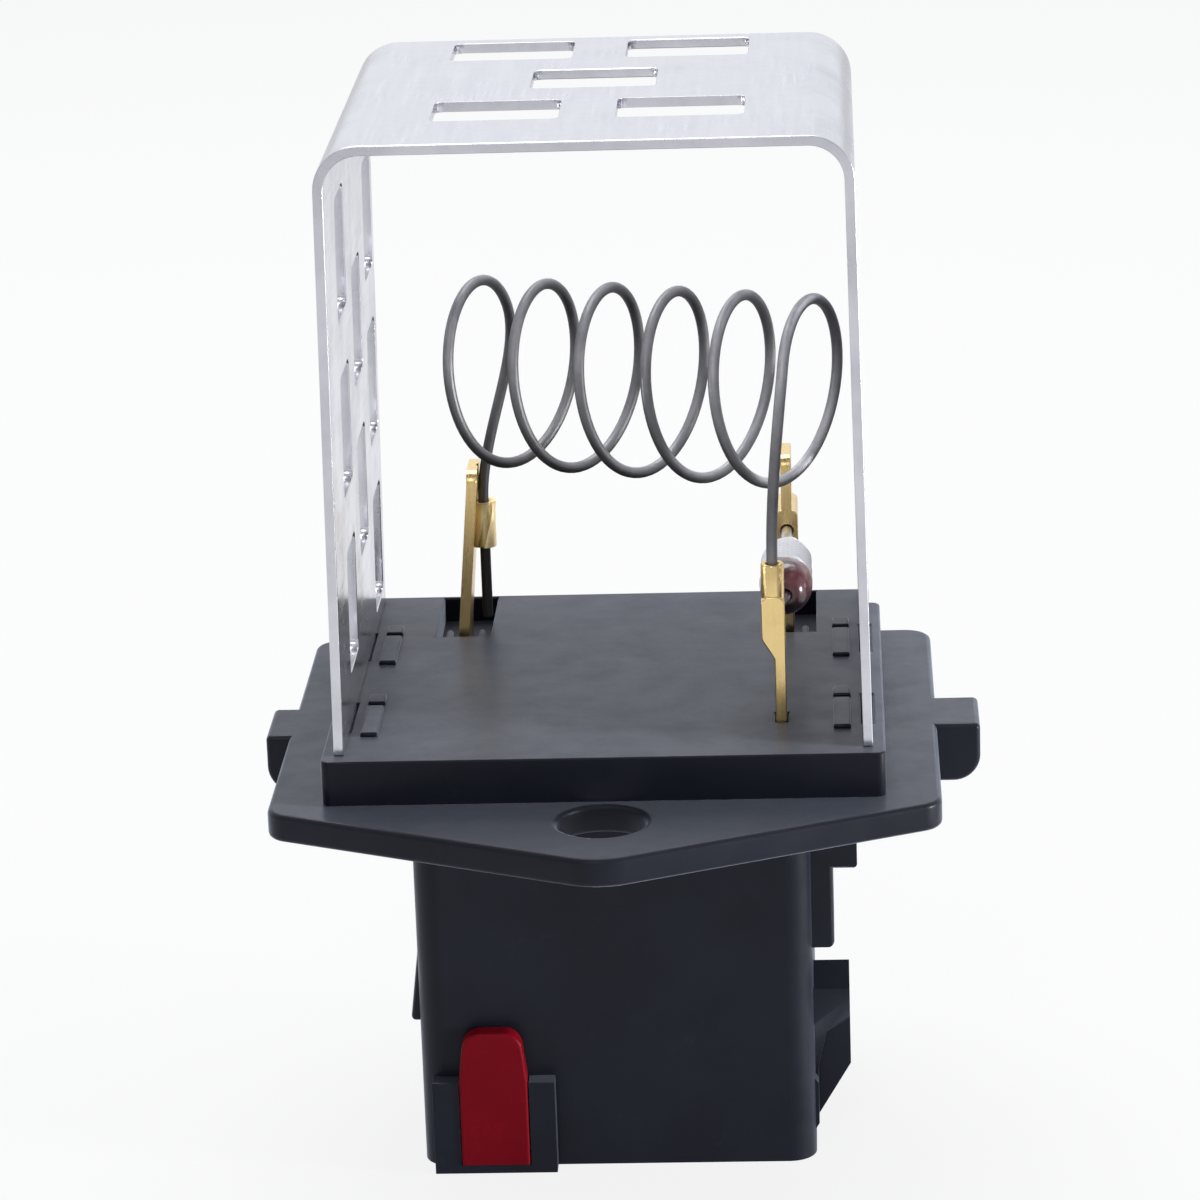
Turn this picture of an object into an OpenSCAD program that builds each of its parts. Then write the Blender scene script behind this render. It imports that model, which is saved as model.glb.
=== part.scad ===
// Cooling fan resistor: a wire coil with a thermal fuse under a perforated guard, on a plug-in flange.
// Origin: axis of the screw hole, in the plane of the flange's seat. X right, Y back, Z up.

/* [Flange] */
// Reach of the flange beyond the plate on each side
flange_side = 4.9; // [4:0.1:8]
// Thickness of the flange
flange_t = 2.6; // [2:0.1:4]
// Reach of the pointed screw tab ahead of the shoulders
tab_d = 13.8; // [12:0.2:20]
// Radius of the flange's corners
flange_r = 2.5; // [0.5:0.1:5]
// Radius of the screw tab's tip
tab_r = 6; // [2:0.5:12]
// Diameter of the screw hole
screw_d = 8; // [4:0.1:9]
// Distance of the screw hole ahead of the shoulders
screw_ahead = 3.4; // [3:0.1:5]

/* [Side lugs] */
// Reach of the right lug beyond the flange
right_lug = 4; // [1.5:0.1:6]
// Reach of the left lug beyond the flange
left_lug = 2.2; // [1.5:0.1:6]
// Length of a lug along the flange
lug_d = 8; // [4:0.5:14]
// Drop of a lug below the seat
lug_drop = 3; // [1:0.1:6]
// Radius of a lug's lower outer edge
lug_r = 2.5; // [0.5:0.1:2.8]
// Radius of a lug's upper outer edge
lug_top_r = 0.5; // [0.2:0.1:0.8]

/* [Terminal plate] */
// Reach of the plate beyond the guard on each side
plate_side = 1.1; // [0.8:0.1:3]
// Setback of the plate behind the flange's shoulders
plate_setback = 1.3; // [0.5:0.1:3]
// Thickness of the plate
plate_t = 4.2; // [3.6:0.1:6]
// Radius of the plate's corners
plate_r = 0.8; // [0.2:0.1:1]
// Length of the notch at each back corner
notch_d = 4.4; // [2:0.1:8]
// Width of a terminal recess
recess_w = 5.2; // [4.8:0.1:6]
// Depth of a terminal recess
recess_drop = 2.4; // [1:0.1:2.6]
// Free length in a recess ahead of the terminal
recess_margin = 1.2; // [0.5:0.1:2.5]
// Wall left between a recess and the plate's back edge
recess_wall = 0.5; // [0.3:0.05:1]
// Width of the ribs beside a terminal in its recess
recess_rib_w = 0.6; // [0.4:0.05:0.7]
// Drop of these ribs below the plate's top
recess_rib_drop = 0.7; // [0.3:0.1:0.9]
// Diameter of the pegs under the plate
peg_d = 4; // [2:0.1:5]
// Length of the pegs under the plate
peg_l = 5; // [2:0.1:7]
// Distance between the pegs
peg_pitch = 18; // [14:0.5:20]

/* [Guard] */
// Outer width of the guard at its foot
guard_w = 48; // [46:0.1:56]
// Outer width of the guard at its top
guard_top_w = 46.5; // [44:0.1:54]
// Length of the guard, front to back
guard_d = 45.6; // [44:0.1:52]
// Setback of the guard behind the plate's front edge
guard_setback = 1.7; // [0.5:0.1:3]
// Setback of the guard ahead of the plate's back edge
guard_rear = 0.9; // [0.5:0.1:3]
// Height of the guard above the plate
guard_h = 55.3; // [54:0.1:70]
// Thickness of the guard's sheet
sheet_t = 0.9; // [0.6:0.05:1.2]
// Outer radius of the guard's bends
bend_r = 4; // [2:0.1:7]
// Height of a vent slot
vent_h = 11.3; // [6:0.1:12]
// Length of a vent slot, front to back
vent_d = 8; // [4:0.1:10]
// Radius of a vent slot's corners
vent_r = 0.8; // [0.2:0.1:1.5]
// Distance between vent slots, one above the other
vent_rise = 16.3; // [15:0.1:20]
// Distance between columns of vent slots
vent_pitch = 13.2; // [12:0.1:15]
// Height of the front column's lowest vent slot above the plate
vent_first = 4.5; // [2:0.1:8]
// Rise of each column of vent slots over the one in front
vent_stagger = 6.8; // [0:0.1:10]
// Sheet left plain between the last column of vents and the back edge
vent_margin = 1.8; // [1:0.1:4]
// Length of the tabs that hold the guard in the plate
tab_l = 8; // [4:0.5:9]
// Length of the foot folded under each tab
tab_foot = 3; // [2:0.1:4]

/* [Guard clips] */
// Length of a clip block
clip_l = 11; // [6:0.5:12]
// Width of a clip block
clip_w = 1.6; // [1:0.1:2]
// Height of a clip block
clip_h = 0.4; // [0.3:0.1:1.5]
// Gap between a clip block and the guard
clip_gap = 1; // [0.3:0.1:1.5]
// Place of the middle between the clip blocks ahead of the guard's middle
clip_ahead = 2; // [0:0.1:3]
// Distance between the two clip blocks on a side
clip_pitch = 20.5; // [16:0.5:22]

/* [Terminals] */
// Thickness of the brass strip
strip_t = 1; // [0.6:0.05:1.2]
// Width of the left and rear strips
strip_w = 6; // [4:0.1:7]
// Width of the front strip
front_w = 2.4; // [2:0.1:4]
// Distance of the left strip from the middle
left_x = 14.7; // [13.5:0.1:16]
// Distance of the rear strip and of the fuse's axis from the middle
right_x = 16.4; // [15.5:0.1:17]
// Distance of the front strip from the middle
front_x = 15.85; // [15:0.05:16.4]
// Distance of the left strip's middle ahead of the plate's back edge
left_rear = 8.4; // [6:0.1:10]
// Distance of the rear strip's middle ahead of the plate's back edge
rear_rear = 9; // [6.5:0.1:10]
// Distance of the front strip's middle ahead of the guard's middle
front_ahead = 14.3; // [13:0.1:18]
// Height of the left strip above the plate
left_h = 15.8; // [14:0.1:20]
// Lean of the left strip towards the coil
left_lean = 1.3; // [0:0.1:2]
// Height of the rear strip above the plate
rear_h = 16.9; // [15:0.1:20]
// Radius of a strip's top corners
strip_r = 1.2; // [0.2:0.1:1.7]
// Outer radius of the crimp barrels
crimp_r = 1.05; // [0.95:0.05:1.4]
// Height of the left crimp's middle above the plate
left_crimp_z = 10; // [7:0.1:12]
// Length of the left crimp
left_crimp_h = 4.5; // [2:0.1:5]
// Length of the front crimp
front_crimp_h = 3.2; // [2:0.1:5]
// Width of the folded clamp on a fuse lead
clamp_w = 2.1; // [1.9:0.1:2.6]
// Height of the folded clamp on a fuse lead
clamp_h = 4; // [2.4:0.1:5]
// Height over which the clamp narrows to the strip below it
clamp_taper = 1.8; // [0.5:0.1:3]
// Brass left ahead of the lead's end in the front clamp
clamp_cap = 0.5; // [0.3:0.1:1]
// Distance of the contact blades from the middle
blade_x = 8; // [6:0.1:9]
// Width of a contact blade
blade_w = 6.3; // [4:0.1:9.5]
// Length of a contact blade in the socket
blade_l = 15; // [8:0.5:18]
// Width of the flat bus under the plate
bus_w = 4; // [2:0.1:5]

/* [Coil] */
// Diameter of the resistance wire
wire_d = 1; // [0.6:0.05:1.1]
// Radius of the coil, to the middle of the wire
coil_r = 8.4; // [6:0.1:10]
// Advance of the coil per turn
coil_pitch = 6.9; // [5:0.1:7.4]
// Number of turns, ending on a half turn
coil_turns = 5.5; // [3.5:1:5.5]
// Share of a turn that is left off at each end, where the legs start
coil_leave = 0.09; // [0:0.01:0.12]
// Place of the coil's middle to the right of the middle
coil_x = 3.8; // [0:0.1:5]
// Place of the coil's middle ahead of the guard's middle
coil_ahead = 0.8; // [-2:0.1:2]
// Height of the coil's middle above the plate
coil_z = 28; // [24:0.1:32]
// Turn of the coil's axis in plan, right end to the front
coil_turn = 27.2; // [15:0.1:35]
// Tilt of the coil's axis, right end up
coil_tilt = 2.5; // [-5:0.1:5]

/* [Thermal fuse] */
// Height of the fuse's axis above the plate
fuse_z = 9.7; // [8:0.1:11]
// Setback of the resin bead's middle behind the front terminal
fuse_setback = 7.9; // [6.5:0.1:10]
// Diameter of the resin bead
bead_d = 5; // [4.8:0.1:6.5]
// Length of the resin bead
bead_l = 4.4; // [3:0.1:6]
// Outer diameter of the sleeve
sleeve_d = 4.8; // [4.2:0.1:6]
// Length of the sleeve
sleeve_l = 6.3; // [6:0.1:10]
// Diameter of the metal case
case_d = 3.6; // [3.2:0.1:3.8]
// Wall of the metal case
case_wall = 0.3; // [0.2:0.05:0.5]
// Length of the case that shows behind the sleeve
case_show = 0.6; // [0.2:0.1:1.5]
// Diameter of the fuse leads
lead_d = 1; // [0.6:0.05:1.1]
// Length of the bushing round the front lead
bushing_l = 1.6; // [1:0.1:1.9]
// Thickness of the contact disc
contact_t = 0.4; // [0.2:0.1:0.7]
// Length of the fuse spring
spring_l = 2; // [1.6:0.1:2.4]
// Turns of the fuse spring
spring_turns = 3; // [2:1:4]
// Diameter of the spring's wire
spring_wire = 0.35; // [0.2:0.05:0.45]

/* [Connector] */
// Width of the connector shroud
conn_w = 36.4; // [36:0.1:40]
// Length of the connector shroud, front to back
conn_d = 30; // [29:0.2:33]
// Setback of the shroud's front behind the shoulders
conn_front = 9.5; // [7:0.1:11]
// Height of the shroud below the seat
conn_h = 36; // [35:0.2:42]
// Radius of the shroud's upright edges
conn_r = 2.5; // [1:0.1:4]
// Wall of the shroud
conn_wall = 2.2; // [1.5:0.1:2.6]
// Depth of the socket's floor below the seat
socket_floor = 10; // [8:0.5:12]
// Overhang of the locating step round the shroud
step_w = 4; // [2:0.1:5]
// Height of the locating step below the seat
step_h = 1; // [0.5:0.1:2]

/* [Latch] */
// Depth of the latch's block and bar, front to back
latch_d = 8; // [5:0.5:12]
// Setback of the latch behind the shroud's front
latch_setback = 2; // [1:0.1:6]
// Reach of the latch's upper block
latch_block = 4.2; // [3:0.1:6]
// Depth of the upper block's underside below the seat
block_low = 8; // [5:0.1:10]
// Reach of the bar under the block
latch_bar = 2; // [1:0.1:3]
// Depth of the bar's end below the seat
bar_low = 15.6; // [12:0.1:16]
// Gap between the bar and the barb
latch_gap = 2.6; // [2:0.1:4]
// Reach of the barb
latch_barb = 3.3; // [2:0.1:5]
// Height of the barb's upright face
barb_h = 9.9; // [9:0.1:11]
// Depth of the barb, front to back
barb_d = 3.5; // [3:0.1:8]
// Fall of the barb's top towards the front
barb_fall = 1.5; // [0.5:0.1:2]
// Height of the barb's ramp
ramp_h = 5.5; // [3:0.1:6.5]
// Height of the barb's front above its pocket
barb_plain = 4.8; // [4:0.1:6]
// Depth of the pocket in the barb, front to back
pocket_d = 2.4; // [2:0.1:3]
// Height of the sloping roof over the pocket
roof_h = 1.9; // [1:0.1:2.2]
// Depth of the pocket's roof, front to back
roof_d = 1.6; // [1:0.1:2]
// Reach of the keying rib on the left side
rib_out = 0.9; // [0.4:0.1:2]
// Width of the keying rib
rib_w = 3; // [1.5:0.1:5]
// Height of the keying rib
rib_h = 7.2; // [4:0.1:9]

/* [Lock slide] */
// Distance of the lock's middle to the left of the middle
lock_x = 11.4; // [9:0.1:12]
// Width of the lock's tongue
lock_w = 6.3; // [4:0.1:7]
// Width of the tongue at its rounded tip
lock_tip_w = 5.2; // [3:0.1:6]
// Thickness of the lock's tongue
lock_t = 1.9; // [1.2:0.1:3]
// Depth of the tongue's tip below the seat
lock_top = 22; // [20:0.1:24]
// Travel of the lock
lock_travel = 4; // [2:0.1:5]
// Reach of the lock's foot beyond the tongue on each side
lock_foot = 1.2; // [0.8:0.1:2]
// Thickness of the lock's foot
foot_t = 0.9; // [0.6:0.1:1.2]
// Height of the guide rails
rail_h = 9; // [8.5:0.1:11]
// Wall of the guide rails
rail_wall = 1.2; // [0.8:0.1:2]
// Thickness of the lips and of the end stops on the guide rails
rail_lip = 0.8; // [0.6:0.1:1.2]

/* [Fits] */
// Clearance between assembled pieces
fit = 0.1; // [0.05:0.01:0.15]

/* [Hidden] */
$fn = 64;
// Steps of the bead's dome, sides of a swept wire, and rings in a turn and in a leg of it
dome_steps = 12;
wire_sides = 10;
turn_rings = 24;
leg_rings = 8;
// Overlap of shapes that are one piece, and of cutters past a face
bite = 0.3;

plate_w = guard_w + 2 * plate_side;
plate_d = guard_setback + guard_d + guard_rear;
flange_w = plate_w + 2 * flange_side;
flange_d = plate_setback + plate_d;
plate_top = flange_t + plate_t;
guard_top = plate_top + guard_h;
fuse_axis_z = plate_top + fuse_z;
// Sides as factors along X
left = -1;
right = 1;
// Y of a place that lies a distance behind the flange's shoulders
function behind(d) = screw_ahead + d;
plate_front_y = behind(plate_setback);
plate_back_y = behind(flange_d);
guard_front_y = plate_front_y + guard_setback;
guard_mid_y = guard_front_y + guard_d / 2;
guard_back_y = guard_front_y + guard_d;
front_back = plate_setback + guard_setback + guard_d / 2 - front_ahead;
left_back = flange_d - left_rear;
rear_back = flange_d - rear_rear;
conn_mid_y = behind(conn_front + conn_d / 2);
clip_ys = [for (side = [-1, 1]) guard_mid_y - clip_ahead + side * clip_pitch / 2];
notch_w = plate_w / 2 - guard_w / 2 - fit;
bus_z = flange_t - strip_t;
wire_bore_r = wire_d / 2 + fit;
lead_bore_r = lead_d / 2 + fit;
clamp_top = fuse_axis_z + clamp_h / 2;
clamp_low = fuse_axis_z - clamp_h / 2 - clamp_taper;
clamp_aside = (clamp_w - strip_t) / 2;
clamp_x = front_x - clamp_aside;
left_top = plate_top + left_h;
left_wire_x = -left_x + left_lean * left_crimp_z / (left_h - strip_r) + strip_t / 2 + crimp_r - bite;

// Thermal fuse, from its front end to its back
lead_front_y = behind(front_back) - front_w / 2 + clamp_cap + fit;
sleeve_y = behind(front_back + fuse_setback + bead_l / 2);
case_l = sleeve_l + case_show;
case_bore_r = case_d / 2 - case_wall;
contact_y = sleeve_y + bushing_l + fit;
spring_y = contact_y + contact_t + fit;
pellet_y = spring_y + spring_l + fit;
case_end_y = sleeve_y + case_l;

// Lock slide and its guide, as depths below the seat
lock_gap_w = lock_w + 2 * fit;
lock_channel_w = lock_w + 2 * lock_foot + 2 * fit;
rail_t = foot_t + fit + rail_lip;
rail_top = conn_h - rail_h;
foot_h = rail_h - 2 * rail_lip - lock_travel - fit;
foot_low = conn_h - rail_lip;
conn_front_y = behind(conn_front);

// Unit vector along v
function unit(v) = v / norm(v);
// Same radius for each of n corners
function same(r, n) = [for (i = [1:n]) r];
// Corners of a rectangle from low to high
function box_corners(low, high) = [low, [high.x, low.y], high, [low.x, high.y]];

// Coil's axis, its level normal towards the back and its normal upwards
coil_axis = [cos(coil_turn) * cos(coil_tilt), -sin(coil_turn) * cos(coil_tilt), sin(coil_tilt)];
coil_rear = [sin(coil_turn), cos(coil_turn), 0];
coil_up = cross(coil_axis, coil_rear);
coil_mid = [coil_x, guard_mid_y - coil_ahead, plate_top + coil_z];
// Point of the coil after a number of turns, starting at its rearmost side
function coil_point(turns) =
  coil_mid + coil_axis * coil_pitch * (turns - coil_turns / 2)
  + coil_r * (coil_rear * cos(360 * turns) + coil_up * sin(360 * turns));
// Direction of the wire there
function coil_heading(turns) = unit(
  coil_axis * coil_pitch
  + 2 * PI * coil_r * (coil_up * cos(360 * turns) - coil_rear * sin(360 * turns))
);
// Smooth curve from p, heading u, to q, heading v, at share s of its length
function blend(p, u, q, v, s) =
  let (pull = norm(q - p))
  p * (1 + 2 * s) * pow(1 - s, 2) + u * pull * s * pow(1 - s, 2)
  + q * s * s * (3 - 2 * s) + v * pull * s * s * (s - 1);
left_crimp_top = [left_wire_x, behind(left_back), plate_top + left_crimp_z + left_crimp_h / 2];
front_crimp_top = [clamp_x, behind(front_back), clamp_top - bite + front_crimp_h];
// Middle line of the whole wire, from the tail under the left crimp to the end in the front crimp
function coil_path() =
  let (
    first = coil_leave,
    last = coil_turns - coil_leave,
    rings = round(turn_rings * (last - first))
  )
  concat(
    [[left_crimp_top.x, left_crimp_top.y, plate_top + 2 * bite]],
    [for (i = [0:leg_rings - 1])
      blend(left_crimp_top, [0, 0, 1], coil_point(first), coil_heading(first), i / leg_rings)],
    [for (i = [0:rings]) coil_point(first + (last - first) * i / rings)],
    [for (i = [1:leg_rings])
      blend(coil_point(last), coil_heading(last), front_crimp_top, [0, 0, -1], i / leg_rings)],
    [[front_crimp_top.x, front_crimp_top.y, clamp_top + fit]]
  );
// Middle line of the fuse's spring
function spring_path() = [
  for (i = [0:spring_turns * turn_rings / 2])
    let (turns = 2 * i / turn_rings, r = case_bore_r - spring_wire / 2 - fit)
    [
      right_x + r * cos(360 * turns),
      spring_y + spring_wire / 2 + (spring_l - spring_wire) * turns / spring_turns,
      fuse_axis_z + r * sin(360 * turns)
    ]
];

// Middle line of the fuse's front lead, from the clamp over to the fuse's axis
function lead_path() =
  let (
    clamp_end = [clamp_x, behind(front_back) + front_w / 2 + fit, fuse_axis_z],
    bead_nose = [right_x, sleeve_y - bead_l - fit, fuse_axis_z],
    back = [0, 1, 0]
  )
  concat(
    [[clamp_x, lead_front_y, fuse_axis_z]],
    [for (i = [0:leg_rings]) blend(clamp_end, back, bead_nose, back, i / leg_rings)],
    [[right_x, contact_y - fit, fuse_axis_z]]
  );

// Round wire of radius r along a path that nowhere runs along the axis
module swept_wire(path, r, axis) {
  n = len(path);
  rings = [
    for (i = [0:n - 1])
      let (
        heading = unit(path[min(i + 1, n - 1)] - path[max(i - 1, 0)]),
        u = unit(cross(heading, axis)),
        v = cross(heading, u)
      )
      for (k = [0:wire_sides - 1])
        let (a = 360 * k / wire_sides)
        path[i] + r * (u * cos(a) + v * sin(a))
  ];
  sides = [
    for (i = [0:n - 2], k = [0:wire_sides - 1])
      let (a = i * wire_sides + k, b = i * wire_sides + (k + 1) % wire_sides)
      each [[a, a + wire_sides, b], [b, a + wire_sides, b + wire_sides]]
  ];
  first_cap = [[for (k = [0:wire_sides - 1]) k]];
  last_cap = [[for (k = [wire_sides - 1:-1:0]) (n - 1) * wire_sides + k]];
  polyhedron(rings, concat(sides, first_cap, last_cap), convexity = 10);
}
// Outline through pts, each corner rounded to its own radius: cut corners, with part of a disc in each
module rounded(pts, radii) {
  n = len(pts);
  cuts = [
    for (i = [0:n - 1])
      let (
        to_last = unit(pts[(i + n - 1) % n] - pts[i]),
        to_next = unit(pts[(i + 1) % n] - pts[i]),
        half = acos(to_last * to_next) / 2,
        cut = radii[i] / tan(half),
        centre = pts[i] + unit(to_last + to_next) * radii[i] / sin(half)
      )
      [pts[i] + to_last * cut, pts[i] + to_next * cut, centre]
  ];
  polygon([for (i = [0:n - 1]) each radii[i] == 0 ? [pts[i]] : [cuts[i][0], cuts[i][1]]]);
  for (i = [0:n - 1]) if (radii[i] > 0)
    intersection() {
      polygon([cuts[i][0], pts[i], cuts[i][1]]);
      translate(cuts[i][2]) circle(radii[i]);
    }
}
// Box between two opposite corners
module box(low, high) {
  translate(low) cube(high - low);
}
// Cylinder along Y from y to y plus l
module rod_y(r, x, y, z, l) {
  translate([x, y, z]) rotate([-90, 0, 0]) cylinder(r = r, h = l);
}
// Outline drawn in X and Z, extruded from y over a depth
module upright(y, depth) {
  translate([0, y + depth, 0]) rotate([90, 0, 0]) linear_extrude(depth) children();
}
// Outline drawn in Y and Z, extruded from x over a width
module sideways(x, width) {
  translate([x, 0, 0]) rotate([90, 0, 90]) linear_extrude(width) children();
}
// Children as they are and mirrored to the left
module both_sides() {
  children();
  mirror([1, 0, 0]) children();
}

// Flange with straight sides and a pointed screw tab
module flange() {
  half = flange_w / 2;
  corners = [
    [0, behind(-tab_d)], [half, behind(0)], [half, behind(flange_d)],
    [-half, behind(flange_d)], [-half, behind(0)]
  ];
  linear_extrude(flange_t) rounded(corners, [tab_r, flange_r, flange_r, flange_r, flange_r]);
}
// Lug on one edge of the flange, rounded below
module side_lug(side, reach) {
  inner = flange_w / 2 - flange_r;
  outer = flange_w / 2 + reach;
  corners = [[inner, -lug_drop], [outer, -lug_drop], [outer, flange_t], [inner, flange_t]];
  mirror([side == left ? 1 : 0, 0, 0])
    upright(behind(flange_d / 2) - lug_d / 2, lug_d) rounded(corners, [0, lug_r, lug_top_r, 0]);
}
// Plan of the connector shroud, grown outwards
module shroud_plan(grow, r) {
  half = [conn_w / 2 + grow, conn_d / 2 + grow];
  translate([0, conn_mid_y]) rounded(box_corners(-half, half), same(r, 4));
}
// Shroud round the plug socket, with the locating step under the flange
module shroud() {
  translate([0, 0, -conn_h]) linear_extrude(conn_h + bite) shroud_plan(0, conn_r);
  translate([0, 0, -step_h]) linear_extrude(step_h + bite) shroud_plan(step_w, 0);
}
// Latch on the right of the shroud: block and bar, and under them a ramped barb with a roofed pocket
module latch() {
  face = conn_w / 2;
  root = face - conn_wall / 2;
  tip = face + latch_barb;
  barb_top = bar_low + latch_gap;
  ramp_top = barb_top + barb_h;
  barb_low = ramp_top + ramp_h;
  pocket_top = barb_top + barb_plain;
  latch_y = conn_front_y + latch_setback;
  roof_low = [face + latch_barb / 3, -pocket_top - latch_barb / 2];
  roof_run = [tip, -pocket_top] - roof_low;
  upright(latch_y, latch_d)
    polygon([
      [root, 0], [face + latch_block, 0], [face + latch_block, -block_low], [face + latch_bar, -block_low],
      [face + latch_bar, -bar_low], [root, -bar_low]
    ]);
  difference() {
    upright(latch_y, barb_d)
      polygon([[root, -barb_top], [tip, -barb_top], [tip, -ramp_top], [face, -barb_low], [root, -barb_low]]);
    sideways(root - bite, tip - root + 2 * bite)
      polygon([
        [latch_y, -barb_top - barb_fall], [latch_y + barb_d, -barb_top], [latch_y + barb_d, bite - barb_top],
        [latch_y - bite, bite - barb_top], [latch_y - bite, -barb_top - barb_fall]
      ]);
    upright(latch_y - bite, pocket_d + bite)
      polygon([
        [tip + bite, -pocket_top], roof_low, [face + bite, -ramp_top], [face + bite, -barb_low],
        [tip + bite, -barb_low]
      ]);
    translate([roof_low.x, latch_y, roof_low.y]) rotate([0, -atan2(roof_run.y, roof_run.x), 0])
      sideways(-latch_barb, 3 * latch_barb)
        polygon([[-bite, -barb_h], [-bite, roof_h], [0, roof_h], [roof_d, 0], [roof_d, -barb_h]]);
  }
}
// Ramped keying rib on the left of the shroud
module keying_rib() {
  face = -conn_w / 2;
  root = face + conn_wall / 2;
  top = bar_low - bite;
  upright(conn_front_y + conn_r, rib_w)
    polygon([[root, -top], [face, -top], [face - rib_out, -top - rib_h], [root, -top - rib_h]]);
}
// Rails that guide the lock slide on the shroud's front, closed at both ends
module lock_rails() {
  half = lock_channel_w / 2 + rail_wall;
  box([-lock_x - half, conn_front_y - rail_t, -conn_h], [-lock_x + half, conn_front_y + bite, -rail_top]);
}
// Room for the slide's foot and tongue in the rails
module lock_channel() {
  box([-lock_x - lock_channel_w / 2, conn_front_y - foot_t - fit, -foot_low],
      [-lock_x + lock_channel_w / 2, conn_front_y, -rail_top - rail_lip]);
  box([-lock_x - lock_gap_w / 2, conn_front_y - rail_t - bite, -foot_low],
      [-lock_x + lock_gap_w / 2, conn_front_y, -rail_top + bite]);
}
// Plan of the flat bus from a strip at x to its blade, on the right side
module bus_plan(x, back, grow = 0) {
  inner = blade_x - strip_t / 2;
  strip_edge = behind(back) + strip_w / 2;
  translate([inner - grow, strip_edge - strip_w - grow])
    square([x + strip_t / 2 - inner + 2 * grow, strip_w + 2 * grow]);
  translate([inner - grow, conn_mid_y - blade_w / 2 - grow])
    square([bus_w + 2 * grow, strip_edge - conn_mid_y + blade_w / 2 + 2 * grow]);
}
// Plan of the foot under the front terminal
module front_foot_plan(grow = 0) {
  translate([front_x + strip_t / 2 - bus_w - grow, behind(front_back) - front_w / 2 - grow])
    square([bus_w + 2 * grow, front_w + 2 * grow]);
}
// Blade on the right side, from the bus down into the socket
module blade(grow = 0) {
  low = -socket_floor - blade_l;
  box([blade_x - strip_t / 2 - grow, conn_mid_y - blade_w / 2 - grow, low],
      [blade_x + strip_t / 2 + grow, conn_mid_y + blade_w / 2 + grow, flange_t - bite]);
}
// Grooves and slots that take the terminals
module terminal_seats() {
  translate([0, 0, bus_z - fit]) linear_extrude(strip_t + fit + bite) {
    mirror([1, 0, 0]) bus_plan(left_x, left_back, fit);
    bus_plan(right_x, rear_back, fit);
    front_foot_plan(fit);
  }
  both_sides() blade(fit);
}
// Pegs of the plate, or their holes when grown
module pegs(grow = 0) {
  for (side = [-1, 1])
    translate([0, conn_mid_y + side * peg_pitch / 2, flange_t - peg_l - 2 * grow])
      cylinder(r = peg_d / 2 + grow, h = peg_l + 2 * grow + bite);
}
// Socket for the plug, open below
module socket() {
  translate([0, 0, -conn_h - bite]) linear_extrude(conn_h - socket_floor + bite)
    shroud_plan(-conn_wall, max(conn_r - conn_wall, bite));
}
module connector_housing() {
  color("#454a54") difference() {
    union() {
      flange();
      side_lug(right, right_lug);
      side_lug(left, left_lug);
      shroud();
      latch();
      keying_rib();
      lock_rails();
    }
    translate([0, 0, -lug_drop]) cylinder(d = screw_d, h = flange_t + 2 * lug_drop);
    socket();
    terminal_seats();
    pegs(fit);
    lock_channel();
  }
}

// Plan of the terminal plate, notched at its back corners
module plate_plan() {
  half = plate_w / 2;
  side = [
    [half, plate_front_y], [half, plate_back_y - notch_d], [half - notch_w, plate_back_y - notch_d],
    [half - notch_w, plate_back_y]
  ];
  other = [for (i = [len(side) - 1:-1:0]) [-side[i].x, side[i].y]];
  radii = [plate_r, plate_r, 0, 0];
  rounded(concat(side, other), concat(radii, [for (i = [3:-1:0]) radii[i]]));
}
// Recess round a strip, almost to the plate's back edge
module recess(x, back) {
  front = behind(back) - strip_w / 2 - recess_margin;
  box([x - recess_w / 2, front, plate_top - recess_drop],
      [x + recess_w / 2, plate_back_y - recess_wall, plate_top + bite]);
}
// Ribs on a recess's floor, midway between the strip and the recess's sides
module recess_ribs(x, back) {
  middle = (strip_t + recess_w) / 4;
  front = behind(back) - strip_w / 2 - recess_margin - bite;
  for (side = [left, right])
    box([x + side * middle - recess_rib_w / 2, front, plate_top - recess_drop - bite],
        [x + side * middle + recess_rib_w / 2, behind(back), plate_top - recess_rib_drop]);
}
// Slot through the plate for a strip of width w
module strip_slot(x, back, w) {
  half = [strip_t / 2 + fit, w / 2 + fit];
  box([x - half.x, behind(back) - half.y, 0], [x + half.x, behind(back) + half.y, plate_top + bite]);
}
// Tab and folded foot that hold the guard on its right side, at y, or their room when grown
module guard_tab(y, grow = 0) {
  outer = guard_w / 2 + grow;
  low = flange_t + fit - grow;
  side = [y - tab_l / 2 - grow, y + tab_l / 2 + grow];
  box([outer - sheet_t - 2 * grow, side[0], low], [outer, side[1], plate_top + bite]);
  box([outer - tab_foot - 2 * grow, side[0], low], [outer, side[1], low + sheet_t + 2 * grow]);
}
// Clip block beside the guard, split by a groove
module clip_block(y) {
  inner = guard_w / 2 - sheet_t - clip_gap - clip_w;
  groove = y + clip_l / 4;
  difference() {
    box([inner, y - clip_l / 2, plate_top - bite], [inner + clip_w, y + clip_l / 2, plate_top + clip_h]);
    box([inner - bite, groove - clip_w / 4, plate_top],
        [inner + clip_w + bite, groove + clip_w / 4, plate_top + 2 * clip_h]);
  }
}
module terminal_plate() {
  color("#3b3f48") {
    difference() {
      union() {
        translate([0, 0, flange_t]) linear_extrude(plate_t) plate_plan();
        both_sides() for (y = clip_ys) clip_block(y);
      }
      recess(-left_x, left_back);
      recess(right_x, rear_back);
      strip_slot(-left_x, left_back, strip_w);
      strip_slot(right_x, rear_back, strip_w);
      strip_slot(front_x, front_back, front_w);
      both_sides() for (y = clip_ys) guard_tab(y, fit);
    }
    recess_ribs(-left_x, left_back);
    recess_ribs(right_x, rear_back);
    pegs();
  }
}

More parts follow.
